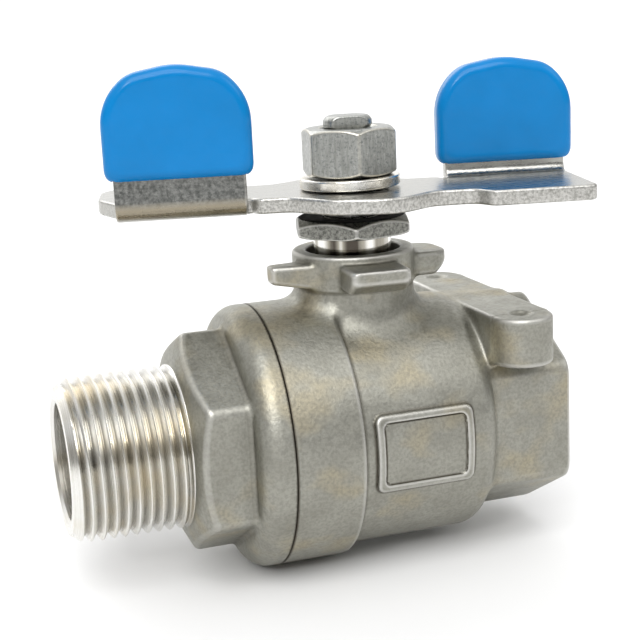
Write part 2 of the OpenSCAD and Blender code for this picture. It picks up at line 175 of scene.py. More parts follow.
def rod(u, v, w, radius, low, high, edge=0.0):
    """A cylinder along w."""
    return rounded(np.hypot(u, v) - radius, span(w, low, high), edge)


def block(x, y, z, low, high, edge=0.0):
    """A box between two corners."""
    sides = rounded(span(x, low[0], high[0]), span(y, low[1], high[1]), edge)
    return rounded(sides, span(z, low[2], high[2]), edge)


def hexagon(u, v, across, soft=0.9):
    """A hexagon in the plane of u and v with a corner on +v and its edges softened."""
    half = across / 2
    slope = math.sqrt(3) / 2
    d = np.abs(u) - half
    d = meet(d, np.abs(0.5 * u + slope * v) - half, soft)
    return meet(d, np.abs(0.5 * u - slope * v) - half, soft)


def polygon(u, v, points):
    """Signed distance to a closed outline, negative inside."""
    best = np.full(np.broadcast(u, v).shape, np.inf, np.float32)
    inside = np.zeros(best.shape, bool)
    for a, b in zip(points, np.roll(points, -1, axis=0)):
        edge = b - a
        du, dv = u - a[0], v - a[1]
        t = np.clip((du * edge[0] + dv * edge[1]) / (edge @ edge), 0, 1)
        best = np.minimum(best, np.hypot(du - t * edge[0], dv - t * edge[1]))
        if edge[1]:
            inside ^= ((v >= a[1]) != (v >= b[1])) & (u < a[0] + dv * edge[0] / edge[1])
    return np.where(inside, -best, best)


# ---------------------------------------------------------------- meshes


def new_object(name, points, faces, smooth=True):
    """A mesh object from points in millimetres."""
    mesh = bpy.data.meshes.new(name)
    mesh.from_pydata([tuple(p) for p in np.asarray(points, float) * MM], [], faces)
    mesh.update()
    piece = bpy.data.objects.new(name, mesh)
    bpy.context.scene.collection.objects.link(piece)
    mesh.polygons.foreach_set("use_smooth", [smooth] * len(mesh.polygons))
    return piece


def slope_of(field, points, reach=0.02):
    """Direction in which a field grows, at each point."""
    slope = np.empty_like(points)
    for axis in range(3):
        step = np.zeros(3)
        step[axis] = reach
        ahead, back = (points + step).T, (points - step).T
        slope[:, axis] = field(*ahead) - field(*back)
    return slope / (2 * reach)


def sculpt(name, field, low, high, voxel):
    """Meshes a distance field inside a box, settles the vertices on its surface and shades it smooth."""
    low = np.array(low, float) - 2.5 * voxel
    axes = [np.arange(low[i], high[i] + 3.5 * voxel, voxel, np.float32) for i in range(3)]
    grid = openvdb.FloatGrid()
    x, y, z = axes[0][:, None, None], axes[1][None, :, None], axes[2][None, None, :]
    values = np.broadcast_to(field(x, y, z), [len(a) for a in axes])
    grid.copyFromArray(np.array(values, np.float32, order="C"))
    points, quads = grid.convertToQuads(isovalue=0.0)
    points = points.astype(float) * voxel + low
    for _ in range(3):
        slope = slope_of(field, points)
        size = np.maximum((slope ** 2).sum(1), 0.3)
        move = (field(*points.T) / size)[:, None] * slope
        points = points - np.clip(move, -voxel / 2, voxel / 2)
    piece = new_object(name, points, quads.tolist())
    normals = slope_of(field, points, reach=voxel / 3)
    normals /= np.linalg.norm(normals, axis=1)[:, None] + 1e-9
    piece.data.normals_split_custom_set_from_vertices(normals.astype(np.float32))
    return piece


def turned(x, y, angle):
    """Coordinates of the same place in a frame turned by angle about the stem."""
    c, s = math.cos(angle), math.sin(angle)
    return c * x + s * y, c * y - s * x


# ---------------------------------------------------------------- castings


def neck_lug(x, y, z, angle, plan, side):
    """One lug: its outline seen from above (along, across) and from the side (along, height)."""
    along, across = turned(x, y, angle)
    return rounded(polygon(along, across, outline(plan)), polygon(along, z, outline(side)), 0.7)


def wide_lug(x, y, z, angle, reach, corner):
    """A lug of full width, chamfered under its tip."""
    half, underside, tip_bottom, chamfer = 4.85, 24.4, 26.3, 2.8
    plan = [(LUG_START, -half), (reach, -half, corner), (reach, half, corner), (LUG_START, half)]
    side = [(LUG_START, underside), (reach - chamfer, underside, 1.0), (reach, tip_bottom, 0.8),
            (reach, LUG_TOP), (LUG_START, LUG_TOP)]
    return neck_lug(x, y, z, angle, plan, side)


def left_lug(x, y, z):
    """The narrow lug over the male end, its underside rising towards its tip."""
    reach, near, far, root_near, root_far = 15.6, 4.45, 1.15, 6.2, -0.2
    underside, tip_bottom = 23.5, 25.5
    plan = [(LUG_START, root_far), (reach, far, 1.0), (reach, near, 1.0), (LUG_START, root_near)]
    side = [(LUG_START, underside), (reach, tip_bottom, 0.8), (reach, LUG_TOP), (LUG_START, LUG_TOP)]
    return neck_lug(x, y, z, math.pi, plan, side)


def lock_pad(x, y, z):
    """The bar across the top of the female end, with a vertical boss at each end of it."""
    near, far, top, boss_x, boss_y, boss_r, boss_bottom = 16.9, 27.1, 19.2, 22.0, 17.0, 5.1, 11.2
    dimple_r, dimple_rise = 2.35, 1.5
    bar = block(x, y, z, (near, -boss_y, boss_bottom + 0.8), (far, boss_y, top), 0.5)
    boss = rod(x - boss_x, np.abs(y) - boss_y, z, boss_r, boss_bottom, top, 0.7)
    d = join(bar, boss, 0.3)
    dimple = np.hypot(np.hypot(x - boss_x, np.abs(y) - boss_y), z - top - dimple_rise) - dimple_r
    return without(d, dimple, 0.3)


def label_field(x, y, z):
    """The raised rectangle on the barrel's front, with its sunk middle left blank."""
    near, far, half, rise, floor_rise, rim = -4.5, 11.9, 6.3, 0.75, 0.38, 1.25
    depth = np.hypot(y, z) - BARREL_R
    outer = rounded(span(x, near, far), np.abs(z) - half, 1.3)
    inner = rounded(span(x, near + rim, far - rim), np.abs(z) - half + rim, 0.9)
    pad = meet(meet(outer, depth - rise, 0.5), -depth - 2, 0)
    pad = without(pad, meet(inner, floor_rise - depth), 0.3)
    return meet(pad, y + 10, 0)


def body_outside(x, y, z):
    """Flange ring, barrel, hexagon end, label field, lock pad, and the neck with its lugs."""
    hex_start, hex_end, hex_r = 8, FEMALE_END - 0.02, BODY_HEX_AF / math.sqrt(3) - 0.2
    ring = rod(y, z, x, RING_R, -SPLIT, RING_END, 0.7)
    ring = join(ring, rod(y, z, x, RING_R, -SPLIT, RING_END - 2, 0.2))
    barrel = rod(y, z, x, BARREL_R, -SPLIT + 1, BARREL_END, 3.0)
    hexagonal = rounded(hexagon(y, z, BODY_HEX_AF), span(x, hex_start, hex_end), 0.5)
    hexagonal = meet(hexagonal, rod(y, z, x, hex_r, hex_start, hex_end, 1.1), 0.5)
    d = join(join(ring, barrel, 0.8), hexagonal, 1.0)
    d = join(d, label_field(x, y, z), 0.35)
    d = join(d, lock_pad(x, y, z), 2.2)
    undercut, lug_root = 0.3, 23.8
    neck = rod(x, y, z, NECK_R - undercut, 4, NECK_TOP - 1)
    lugs = join(left_lug(x, y, z), wide_lug(x, y, z, 0.0, 15.5, 3.2))
    lugs = join(lugs, wide_lug(x, y, z, math.radians(-93.5), 16.3, 1.3))
    rim = rod(x, y, z, NECK_R, lug_root, NECK_TOP, 0.5)
    return join(join(d, neck, 3.4), join(rim, lugs, 0.8), 0.5)


def body_room(x, y, z):
    """The room inside the body: spigot, ball, seat, thread and waterway, then the stem's stepped hole."""
    cavity_r, cavity_half, neck_mouth_r = 15.3, 8.5, 7.8
    room = join(rod(y, z, x, 18.0, -SPLIT - 3, -cavity_half), rod(y, z, x, cavity_r, -9, cavity_half))
    room = join(room, rod(y, z, x, SEAT_R, 8, 13.5))
    room = join(room, rod(y, z, x, SEAT_R + 0.2, 15.0, FEMALE_END + 3))
    room = join(room, rod(y, z, x, PORT_R + 0.5, 13, 16))
    hole = join(rod(x, y, z, COLLAR_R + 0.2, 8, 18.6), rod(x, y, z, STEM_R + 0.1, 18, 22))
    hole = join(hole, rod(x, y, z, PACKING_R, 21.4, 28.4))
    hole = join(hole, rod(x, y, z, neck_mouth_r, 27.4, NECK_TOP + 2))
    return join(room, hole)


def body_casting(x, y, z):
    """The body casting, its inner edges barely broken."""
    return without(body_outside(x, y, z), body_room(x, y, z), 0.35)


def cap_casting(x, y, z):
    """The end cap: hexagon with a cone on its thread side, flange, spigot and bore."""
    start, end, collar_r, steep = -32.0, -22.6, 14.2, 2.0
    away = np.hypot(y, z)
    hexagonal = meet(hexagon(y, z, CAP_HEX_AF), span(x, start, end + 2), 0.4)
    cone = (away - collar_r - (x - start) * steep) / math.hypot(1, steep)
    hexagonal = meet(hexagonal, cone, 0.7)
    flange = rod(y, z, x, RING_R, end - 0.5, -SPLIT + 6, 3.6)
    flange = meet(flange, x + SPLIT, 0.3)
    d = join(hexagonal, flange, 1.0)
    spigot = rod(y, z, x, SPIGOT_R, -SPLIT - 1, -SPIGOT_END, 0.3)
    d = join(d, spigot)
    hollow = join(rod(y, z, x, PORT_R + 0.5, -MALE_END, 0), rod(y, z, x, SEAT_R, -13.5, 0))
    return without(d, hollow, 0.2)


def both_castings(x, y, z):
    """Both castings together, so that their joint reads as a corner and not as two edges."""
    return np.minimum(body_casting(x, y, z), cap_casting(x, y, z))


# ---------------------------------------------------------------- machined threads


def thread_wave(phase):
    """0 on a crest and 1 in a root, with both slightly rounded."""
    t = np.abs((phase % 1.0) - 0.5) * 2
    t = 1 - t
    return 0.45 * t + 0.55 * (0.5 - 0.5 * np.cos(math.pi * t))


def threaded_skin(radius_at, low, high, steps, per_pitch):
    """Rings of points that follow a helical thread, clamped to its two ends; returns points and faces.

    radius_at gives the surface's radius from the place along X and the phase within the thread."""
    count = int(math.ceil((high - low) / THREAD_PITCH)) + 2
    rows = count * per_pitch + 1
    angle = 2 * math.pi * np.arange(steps) / steps
    along = low - THREAD_PITCH + THREAD_PITCH * np.arange(rows)[:, None] / per_pitch
    along = along + THREAD_PITCH * np.arange(steps)[None, :] / steps
    phase = np.broadcast_to(np.arange(rows)[:, None] / per_pitch, along.shape)
    x = np.clip(along, low, high)
    r = radius_at(x, phase + (x - along) / THREAD_PITCH)
    points = np.stack([x, r * np.cos(angle), r * np.sin(angle)], -1).reshape(-1, 3)
    faces = []
    for j in range(rows - 1):
        for i in range(steps):
            a, b = j * steps + i, (j + 1) * steps + i
            if i + 1 < steps:
                faces.append((a, b, b + 1, a + 1))
            elif j + 1 + per_pitch < rows:
                faces.append((a, b, (j + 1 + per_pitch) * steps, (j + per_pitch) * steps))
    return points, faces


def lathe(profile, steps):
    """Revolves (along X, radius) points about the pipe axis; returns the points, ring by ring."""
    profile = np.asarray(profile, float)
    angle = 2 * math.pi * np.arange(steps) / steps
    ring = np.stack([np.ones(steps), np.cos(angle), np.sin(angle)], -1)
    return (ring[None] * profile[:, [0, 1, 1]][:, None]).reshape(-1, 3)


def swept_object(name, parts):
    """Joins skins that share their edge rings into one clean closed mesh."""
    bm = bmesh.new()
    for points, faces in parts:
        verts = [bm.verts.new(tuple(p * MM)) for p in points]
        for face in faces:
            bm.faces.new([verts[i] for i in face])
    bmesh.ops.remove_doubles(bm, verts=bm.verts, dist=1e-7)
    bmesh.ops.dissolve_degenerate(bm, dist=1e-7, edges=bm.edges)
    bmesh.ops.recalc_face_normals(bm, faces=bm.faces)
    mesh = bpy.data.meshes.new(name)
    bm.to_mesh(mesh)
    bm.free()
    piece = bpy.data.objects.new(name, mesh)
    bpy.context.scene.collection.objects.link(piece)
    mesh.polygons.foreach_set("use_smooth", [True] * len(mesh.polygons))
    mesh.set_sharp_from_angle(angle=math.radians(38))
    return piece


def threaded_tube(name, radius_at, low, high, inner):
    """A tube with a thread between low and high, closed by a profile of (along X, radius) points."""
    steps, per_pitch = ((192, 24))
    skin = threaded_skin(radius_at, low, high, steps, per_pitch)
    turn = np.arange(steps) / steps

    def edge_ring(x):
        """The thread's own outline at its end x."""
        r = radius_at(np.full(steps, x), (x - low) / THREAD_PITCH + 1 - turn)
        angle = 2 * math.pi * turn
        return np.stack([np.full(steps, x), r * np.cos(angle), r * np.sin(angle)], -1)

    points = np.concatenate([edge_ring(low), lathe(inner, steps), edge_ring(high)])
    faces = []
    for start in range(0, (len(inner) + 1) * steps, steps):
        for i in range(steps):
            after = (i + 1) % steps
            faces.append((start + i, start + steps + i, start + steps + after, start + after))
    return swept_object(name, [skin, (points, faces)])


def male_radius(x, phase):
    """Tapered outside thread, chamfered at its nose and fading out at the hexagon."""
    crest = 13.15 + (x + MALE_END) / 100
    depth = THREAD_DEPTH * np.clip((-31.9 - x) / 0.9, 0.0, 1.0)
    chamfer = 11.75 + (x + MALE_END) * 0.78
    return np.minimum(crest - depth * thread_wave(phase), chamfer)


def female_radius(x, phase):
    """Inside thread, chamfered at its mouth and fading out at its floor."""
    root = 13.2 - (FEMALE_END - x) / 100
    depth = THREAD_DEPTH * np.clip((x - 17.2) / 1.5, 0.0, 1.0)
    chamfer = 13.4 - (FEMALE_END - x) * 0.9
    return np.maximum(root - depth * (1 - thread_wave(phase)), chamfer)


# ---------------------------------------------------------------- ball, stem line and handle


def ball_shape(x, y, z):
    """The ball, with its bore and the slot that the stem turns it by."""
    slot_half, slot_floor, past = 3, 10.5, 20
    x, y = turned(x, y, REST_TURN)
    d = np.sqrt(x * x + y * y + z * z) - ball_high[2]
    d = without(d, np.hypot(y, z) - PORT_R, 0.6)
    return without(d, block(x, y, z, (-slot_half, -past, slot_floor), (slot_half, past, past)), 0.2)


def screw_radius(x, y, z, radius, pitch, depth):
    """Radius of an outside screw thread about the stem, at a place's height and angle."""
    phase = z / pitch - np.arctan2(y, x) / (2 * math.pi)
    return radius - depth * thread_wave(phase)


def stem_shape(x, y, z):
    """Tang, collar, shank with its O-ring groove, and a threaded top with two flats."""
    thread_r, groove_r, collar_z, collar_top, tang_half = 4.0, 3.5, 15, 17.6, 2.95
    x, y = turned(x, y, REST_TURN)
    away = np.hypot(x, y)
    shank = rod(x, y, z, STEM_R, collar_z, PLATE_Z + 0.6, 0.2)
    shank = without(shank, meet(span(z, 19.4, 20.6), groove_r - away))
    collar = rod(x, y, z, COLLAR_R, collar_z, collar_top, 0.4)
    depth = 0.62 * np.clip(STEM_TOP - 1.4 - z, 0, 1)
    top = (away - screw_radius(x, y, z, thread_r, 1.25, depth)) * 0.8
    top = meet(top, (away - thread_r + z - STEM_TOP + 0.7) / math.sqrt(2), 0.3)
    top = meet(meet(top, z - STEM_TOP, 0.3), PLATE_Z - 1 - z)
    top = meet(top, np.abs(y) - FLATS_HALF, 0.3)
    tang = block(x, y, z, (-tang_half, -6, 10.8), (tang_half, 6, collar_z + 0.5), 0.2)
    return join(join(shank, collar), join(top, meet(tang, away - COLLAR_R)))


def nut_shape(x, y, z):
    """The nut on the stem, chamfered at both ends."""
    across = 14.0
    x, y = turned(x, y, NUT_TURN)
    away = np.hypot(x, y)
    d = meet(hexagon(y, x, across, 0.35), span(z, NUT_Z, NUT_TOP), 0.15)
    for end in (NUT_TOP - z, z - NUT_Z):
        d = meet(d, (away - across / 2 + 0.15 - end * 1.75) / math.hypot(1, 1.75), 0.25)
    bore = (away - 4.05) - np.maximum(z - NUT_TOP + 0.7, 0) * 0.9
    return without(d, bore, 0.15)


def gland_shape(x, y, z):
    """The gland nut: a thin hexagon on a round shank, with a hole for the stem."""
    hex_top, across, shank_r, bore_r, thread_top = gland_high[2], 18.0, 6.4, 4.75, 27.4
    x, y = turned(x, y, GLAND_TURN)
    away = np.hypot(x, y)
    d = meet(hexagon(y, x, across, 0.35), span(z, GLAND_HEX_Z, hex_top), 0.15)
    for end, start in ((hex_top - z, 8.5), (z - GLAND_HEX_Z, 9.6)):
        d = meet(d, (away - start - end * 1.75) / math.hypot(1, 1.75), 0.2)
    d = join(d, rod(x, y, z, shank_r, gland_low[2], GLAND_HEX_Z + 1), 0.3)
    d = join(d, rod(x, y, z, PACKING_R - 0.05, gland_low[2], thread_top, 0.3))
    return without(d, away - bore_r, 0.3)


def washer_shape(x, y, z):
    """Split spring washer, its ends a little apart in height."""
    inner_r, outer_r, half_t, middle, spring, split_half = 4.3, 8.2, 0.88, 1.1, 0.22, 0.4
    x, y = turned(x, y, SPLIT_TURN)
    z = z - washer_low[2] - middle
    rise = spring * (np.arctan2(y, x) % (2 * math.pi) / math.pi - 1)
    d = rounded(span(np.hypot(x, y), inner_r, outer_r), np.abs(z - rise) - half_t, 0.35)
    split = meet(np.abs(y + 0.5 * z) - split_half, -x)
    return without(d, split, 0.12)


def wing_outline(grow, rise):
    """Corners of a wing's crest: (distance from the stem axis, height, radius)."""
    near, far, top = WING_NEAR - grow, WING_FAR + grow, WING_TOP + rise + grow
    middle = (near + far) / 2
    return [(near, top - 5.2, 9), (near + 4.4, top - 1.3, 6), (middle, top, 14), (far - 4.4, top - 1.3, 6),
            (far, top - 5.2, 9)]


def wing_face(grow, rise, low):
    """Outline of a wing seen along its thickness, down to height low."""
    return outline([(WING_FAR + grow, low), (WING_NEAR - grow, low)] + wing_outline(grow, rise))


def wing(x, y, z, rise):
    """The bent-up wing at +X, +Y."""
    inside, past = WING_FACE - PLATE_T, WING_TOP + 5
    profile = outline([(WING_FACE - BEND_R - 1.5, PLATE_Z), (WING_FACE, PLATE_Z, BEND_R), (WING_FACE, past),
                       (inside, past), (inside, PLATE_Z + PLATE_T, 1.3),
                       (WING_FACE - BEND_R - 1.5, PLATE_Z + PLATE_T)])
    return rounded(polygon(x, z, wing_face(0, rise, PLATE_Z - 2)), polygon(y, z, profile), 0.35)


# Front half of the plate's outline, from the left relief slot to the right end
PLATE_FRONT = [(-WING_NEAR, -3.6, 0.5), (-15.9, -7.2, 2.2), (-10.5, -7.3, 3), (-4.5, -13.4, 4),
               (5.5, -15.9, 6), (12.2, -9.9, 4), (18.6, -9.9, 2.5), (20.8, -PLATE_HALF_W, 2),
               (WING_FAR, -PLATE_HALF_W, 1.6)]
BEND_START = WING_FACE - BEND_R - 0.5
PLATE_END = [(WING_FAR, BEND_START), (WING_NEAR, BEND_START)]
PLATE_CORNERS = PLATE_FRONT + PLATE_END
PLATE_CORNERS = PLATE_CORNERS + [(-p[0], -p[1], *p[2:]) for p in PLATE_CORNERS]


def plate_plan(x, y):
    """The plate seen from above: two like halves, and a left end that runs on past its wing."""
    end, back = -WING_FAR - 3.4, 15.8
    lobe = outline([(-WING_NEAR - 4, PLATE_HALF_W - 1), (-WING_NEAR - 10, back, 6), (end, back, 5),
                    (end, 3, 7), (-WING_FAR + 1, -6.1)])
    return np.minimum(polygon(x, y, outline(PLATE_CORNERS)), polygon(x, y, lobe))


def plate_shape(x, y, z):
    """The stamped handle plate with its two wings, and the hole that fits the stem's flats."""
    x, y = turned(x, y, REST_TURN)
    d = rounded(plate_plan(x, y), span(z, PLATE_Z, PLATE_Z + PLATE_T), 0.45)
    d = np.minimum(d, np.minimum(wing(x, y, z, -WING_STEP), wing(-x, -y, z, WING_STEP)))
    hole = meet(np.hypot(x, y) - 4.05, np.abs(y) - FLATS_HALF - 0.05)
    return without(d, hole, 0.1)


def sleeve(x, y, z, rise):
    """Dipped vinyl: thick and rounded at the top edge, with a straight hem and soft lower corners."""
    hem, middle, flare = SLEEVE_Z + rise, WING_FACE - PLATE_T / 2, 0.12
    swell = flare * np.clip((z - hem) / 4, 0, 1)
    across = np.abs(y - middle) - PLATE_T / 2 - SLEEVE_T + flare - swell
    face = meet(polygon(x, z, wing_face(SLEEVE_T, rise, hem - 6)), hem - z, 2.2)
    d = rounded(face, across, 1.7)
    d = meet(d, hem - z, 0.5)
    inside = meet(polygon(x, z, wing_face(0, rise, hem - 6)), np.abs(y - middle) - PLATE_T / 2)
    return without(d, inside - 0.02, 0.15)


def right_sleeve(x, y, z):
    """The sleeve on the wing at +X."""
    return sleeve(*turned(x, y, REST_TURN), z, -WING_STEP)


def left_sleeve(x, y, z):
    """The sleeve on the wing at -X."""
    return sleeve(*turned(x, y, REST_TURN + math.pi), z, WING_STEP)


# ---------------------------------------------------------------- materials


class Shader:
    """A Principled material with short calls for the nodes that these surfaces use."""

    def __init__(self, name, metallic, roughness):
        self.material = bpy.data.materials.new(name)
        self.material.use_nodes = True
        self.tree = self.material.node_tree
        self.shader = self.tree.nodes["Principled BSDF"]
        self.shader.inputs["Metallic"].default_value = metallic
        self.shader.inputs["Roughness"].default_value = roughness
        self.place = self.tree.nodes.new("ShaderNodeTexCoord").outputs["Object"]
        self.normal = None

    def node(self, kind, inputs=(), **settings):
        """Adds a node; an input takes either a value or another node's output."""
        node = self.tree.nodes.new(kind)
        for key, value in settings.items():
            setattr(node, key, value)
        for key, value in dict(inputs).items():
            if isinstance(value, bpy.types.NodeSocket):
                self.tree.links.new(value, node.inputs[key])
            else:
                node.inputs[key].default_value = value
        return node

    def scaled(self, value, factor):
        """A value times a plain number."""
        return self.node("ShaderNodeMath", {0: value, 1: factor}, operation="MULTIPLY").outputs[0]

    def stretched(self, scale):
        """Object coordinates scaled along each axis, so that a noise's grain runs along one."""
        return self.node("ShaderNodeMapping", {"Vector": self.place, "Scale": scale}).outputs[0]

    def around_pipe(self):
        """(along X, distance from the pipe axis, 0), for marks that a lathe leaves."""
        parts = self.node("ShaderNodeSeparateXYZ", {0: self.place})
        flat = self.node("ShaderNodeCombineXYZ", {1: parts.outputs[1], 2: parts.outputs[2]})
        away = self.node("ShaderNodeVectorMath", {0: flat.outputs[0]}, operation="LENGTH")
        return self.node("ShaderNodeCombineXYZ", {0: parts.outputs[0], 1: away.outputs["Value"]}).outputs[0]

    def noise(self, scale, detail=3.0, rough=0.55, vector=None):
        """Noise of a given scale per metre."""
        inputs = {"Vector": vector or self.place, "Scale": scale, "Detail": detail, "Roughness": rough}
        return self.node("ShaderNodeTexNoise", inputs).outputs["Fac"]

    def ramp(self, value, stops):
        """Maps a value through (position, grey or colour) stops."""
        node = self.node("ShaderNodeValToRGB", {"Fac": value})
        elements = node.color_ramp.elements
        while len(elements) < len(stops):
            elements.new(0.5)
        for element, (position, colour) in zip(elements, stops):
            element.position = position
            element.color = (*colour, 1) if isinstance(colour, tuple) else (colour, colour, colour, 1)
        return node.outputs["Color"]

    def mix(self, factor, a, b):
        """Goes from colour a to colour b as factor goes from 0 to 1."""
        node = self.node("ShaderNodeMix", data_type="RGBA")
        for socket, value in zip((node.inputs[0], node.inputs[6], node.inputs[7]), (factor, a, b)):
            if isinstance(value, bpy.types.NodeSocket):
                self.tree.links.new(value, socket)
            elif isinstance(value, tuple):
                socket.default_value = (*value, 1)
            else:
                socket.default_value = value
        return node.outputs[2]

    def attribute(self, name):
        """A value that the mesh stores at its vertices."""
        return self.node("ShaderNodeAttribute", attribute_name=name).outputs["Fac"]

    def bump(self, height, strength, distance):
        """Adds relief on top of any that is there already."""
        inputs = {"Height": height, "Strength": strength, "Distance": distance}
        if self.normal:
            inputs["Normal"] = self.normal
        self.normal = self.node("ShaderNodeBump", inputs).outputs[0]
        self.tree.links.new(self.normal, self.shader.inputs["Normal"])

    def colour(self, value):
        """Links the base colour."""
        self.tree.links.new(value, self.shader.inputs["Base Color"])

    def roughness(self, value):
        """Links the roughness."""
        self.tree.links.new(value, self.shader.inputs["Roughness"])


def cast_steel():
    """Blasted investment casting: warm grey grain, golden patches, brighter where edges are rubbed, and
    painted darker in corners and creases as shade.
    """
    s = Shader("cast_steel", 1.0, 0.4)
    tone = s.ramp(s.noise(170, 4), [(0.3, (0.31, 0.305, 0.265)), (0.7, (0.39, 0.385, 0.34))])
    gold = s.ramp(s.noise(95, 2, vector=s.stretched((1, 1, 1.4))), [(0.52, 0.0), (0.68, 0.55)])
    tone = s.mix(gold, tone, (0.44, 0.38, 0.25))
    grain = s.noise(1900, 2, 0.6)
    tone = s.mix(s.ramp(grain, [(0.36, 0.4), (0.6, 0.0)]), tone, (0.20, 0.195, 0.17))
    worn = s.attribute("worn")
    tone = s.mix(s.ramp(worn, [(0.55, 0.0), (0.85, 0.6)]), tone, (0.70, 0.69, 0.66))
    # painted shade: darker in corners and creases, where the stored convexity is low
    tone = s.mix(s.ramp(worn, [(0.1, 0.9), (0.42, 0.0)]), tone, (0.07, 0.06, 0.045))
    s.colour(tone)
    s.roughness(s.ramp(s.noise(700, 3), [(0.3, 0.42), (0.7, 0.56)]))
    s.bump(grain, 0.4, 0.0001)
    s.bump(s.noise(1100, 2), 0.3, 0.00014)
    return s.material


def machined_steel():
    """Turned faces, bores and threads, with fine marks round the pipe axis, and painted shade in the thread
    roots.
    """
    s = Shader("machined_steel", 1.0, 0.22)
    marks = s.noise(5200, 2, 0.6, vector=s.around_pipe())
    stain = s.ramp(s.noise(120, 3), [(0.45, 0.0), (0.75, 0.6)])
    tone = s.ramp(marks, [(0.3, (0.66, 0.65, 0.61)), (0.7, (0.86, 0.85, 0.82))])
    # painted shade: the thread roots are darkened, as the shade between the crests
    tone = s.mix(s.ramp(s.attribute("groove"), [(0.5, 0.0), (1.0, 0.65)]), tone, (0.20, 0.185, 0.15))
    s.colour(s.mix(stain, tone, (0.62, 0.54, 0.39)))
    s.roughness(s.ramp(s.noise(900, 2, vector=s.around_pipe()), [(0.3, 0.16), (0.7, 0.34)]))
    s.bump(marks, 0.25, 0.00004)
    return s.material


def polished_steel():
    """Ball and stem line: ground and polished, with faint scuffs."""
    s = Shader("polished_steel", 1.0, 0.1)
    s.colour(s.ramp(s.noise(260, 3), [(0.3, (0.62, 0.61, 0.59)), (0.7, (0.76, 0.75, 0.73))]))
    s.roughness(s.ramp(s.noise(1600, 3, vector=s.stretched((1, 1, 0.12))), [(0.3, 0.06), (0.7, 0.2)]))
    s.bump(s.noise(3000, 1, vector=s.stretched((0.1, 0.1, 1))), 0.12, 0.00003)
    return s.material


def streaked_steel():
    """The gland nut's shank: mirror bright, with painted reflection stripes, dark and bright, running up and
    down it.
    """
    s = Shader("streaked_steel", 1.0, 0.12)
    streaks = s.noise(330, 2, 0.5, vector=s.stretched((1, 1, 0.02)))
    # painted reflection: near-black to near-white stripes in the base colour stand in for the surroundings
    # that the shank mirrors
    s.colour(s.ramp(streaks, [(0.40, (0.07, 0.06, 0.05)), (0.50, (0.34, 0.32, 0.27)),
                              (0.60, (0.85, 0.84, 0.80))]))
    s.roughness(s.ramp(s.noise(900, 2), [(0.3, 0.08), (0.7, 0.16)]))
    s.bump(streaks, 0.1, 0.00003)
    return s.material


def nut_steel():
    """Satin nut, its faces drawn upright."""
    s = Shader("nut_steel", 1.0, 0.3)
    drawn = s.noise(2000, 2, 0.6, vector=s.stretched((1, 1, 0.2)))
    speck = s.noise(2600, 3, 0.75)
    tone = s.ramp(drawn, [(0.3, (0.27, 0.275, 0.255)), (0.72, (0.40, 0.405, 0.385))])
    tone = s.mix(s.ramp(speck, [(0.52, 0.0), (0.66, 0.7)]), tone, (0.13, 0.14, 0.145))
    worn = s.attribute("worn")
    tone = s.mix(s.ramp(worn, [(0.60, 0.0), (0.95, 0.45)]), tone, (0.74, 0.70, 0.60))
    s.colour(tone)
    s.roughness(s.ramp(s.noise(1300, 3), [(0.3, 0.26), (0.7, 0.42)]))
    s.bump(drawn, 0.2, 0.00005)
    return s.material


def gland_steel():
    """The gland nut's hexagon: grey and grainy, as it was sawn from bar and blasted."""
    s = Shader("gland_steel", 1.0, 0.4)
    speck = s.noise(2100, 3, 0.75)
    tone = s.ramp(speck, [(0.36, (0.10, 0.10, 0.09)), (0.62, (0.32, 0.32, 0.29))])
    tone = s.mix(s.ramp(s.attribute("worn"), [(0.62, 0.0), (0.95, 0.7)]), tone, (0.78, 0.77, 0.74))
    s.colour(tone)
    s.roughness(s.ramp(speck, [(0.3, 0.34), (0.7, 0.48)]))
    s.bump(speck, 0.3, 0.00006)
    return s.material


def oiled_steel():
    """The gland nut's top under the plate, painted near-black as the shade that the plate throws on it."""
    s = Shader("oiled_steel", 0.0, 0.7)
    s.shader.inputs["Specular IOR Level"].default_value = 0.12
    s.colour(s.ramp(s.noise(420, 3, 0.6), [(0.35, (0.004, 0.004, 0.004)), (0.7, (0.016, 0.015, 0.013))]))
    s.roughness(s.ramp(s.noise(800, 2), [(0.3, 0.6), (0.7, 0.8)]))
    return s.material


def plate_steel():
    """Rolled sheet: fine lengthwise grain on its faces, speckled where it was sheared, with the wings' outer
    upright faces painted darker as shade.
    """
    s = Shader("plate_steel", 1.0, 0.28)
    rolled = s.noise(1500, 3, 0.6, vector=s.stretched((0.05, 1, 1)))
    tone = s.ramp(rolled, [(0.3, (0.36, 0.355, 0.33)), (0.7, (0.48, 0.475, 0.445))])
    speck = s.noise(2300, 2, 0.7)
    edge = s.attribute("sheared")
    rough_tone = s.ramp(speck, [(0.34, (0.33, 0.325, 0.30)), (0.6, (0.62, 0.61, 0.58))])
    # painted shade: the wings' outer upright faces take this darker grey as shade
    pickled = s.ramp(s.noise(1500, 3, 0.7), [(0.35, (0.09, 0.093, 0.088)), (0.68, (0.25, 0.252, 0.24))])
    tone = s.mix(s.attribute("upright"), tone, pickled)
    tone = s.mix(s.scaled(s.attribute("bend"), 0.8), tone, (0.30, 0.255, 0.175))
    s.colour(s.mix(edge, tone, rough_tone))
    s.roughness(s.mix(edge, s.ramp(rolled, [(0.3, 0.2), (0.7, 0.34)]), (0.42, 0.42, 0.42)))
    s.bump(s.mix(edge, rolled, speck), 0.25, 0.00008)
    return s.material


def blue_vinyl():
    """Glossy dipped vinyl with a faint orange-peel surface."""
    s = Shader("blue_vinyl", 0.0, 0.2)
    s.shader.inputs["Specular IOR Level"].default_value = 0.22
    s.colour(s.ramp(s.noise(140, 3), [(0.3, (0.001, 0.172, 0.45)), (0.7, (0.0015, 0.19, 0.50))]))
    s.roughness(s.ramp(s.noise(500, 2), [(0.3, 0.16), (0.7, 0.26)]))
    s.bump(s.noise(240, 1), 0.1, 0.0004)
    return s.material


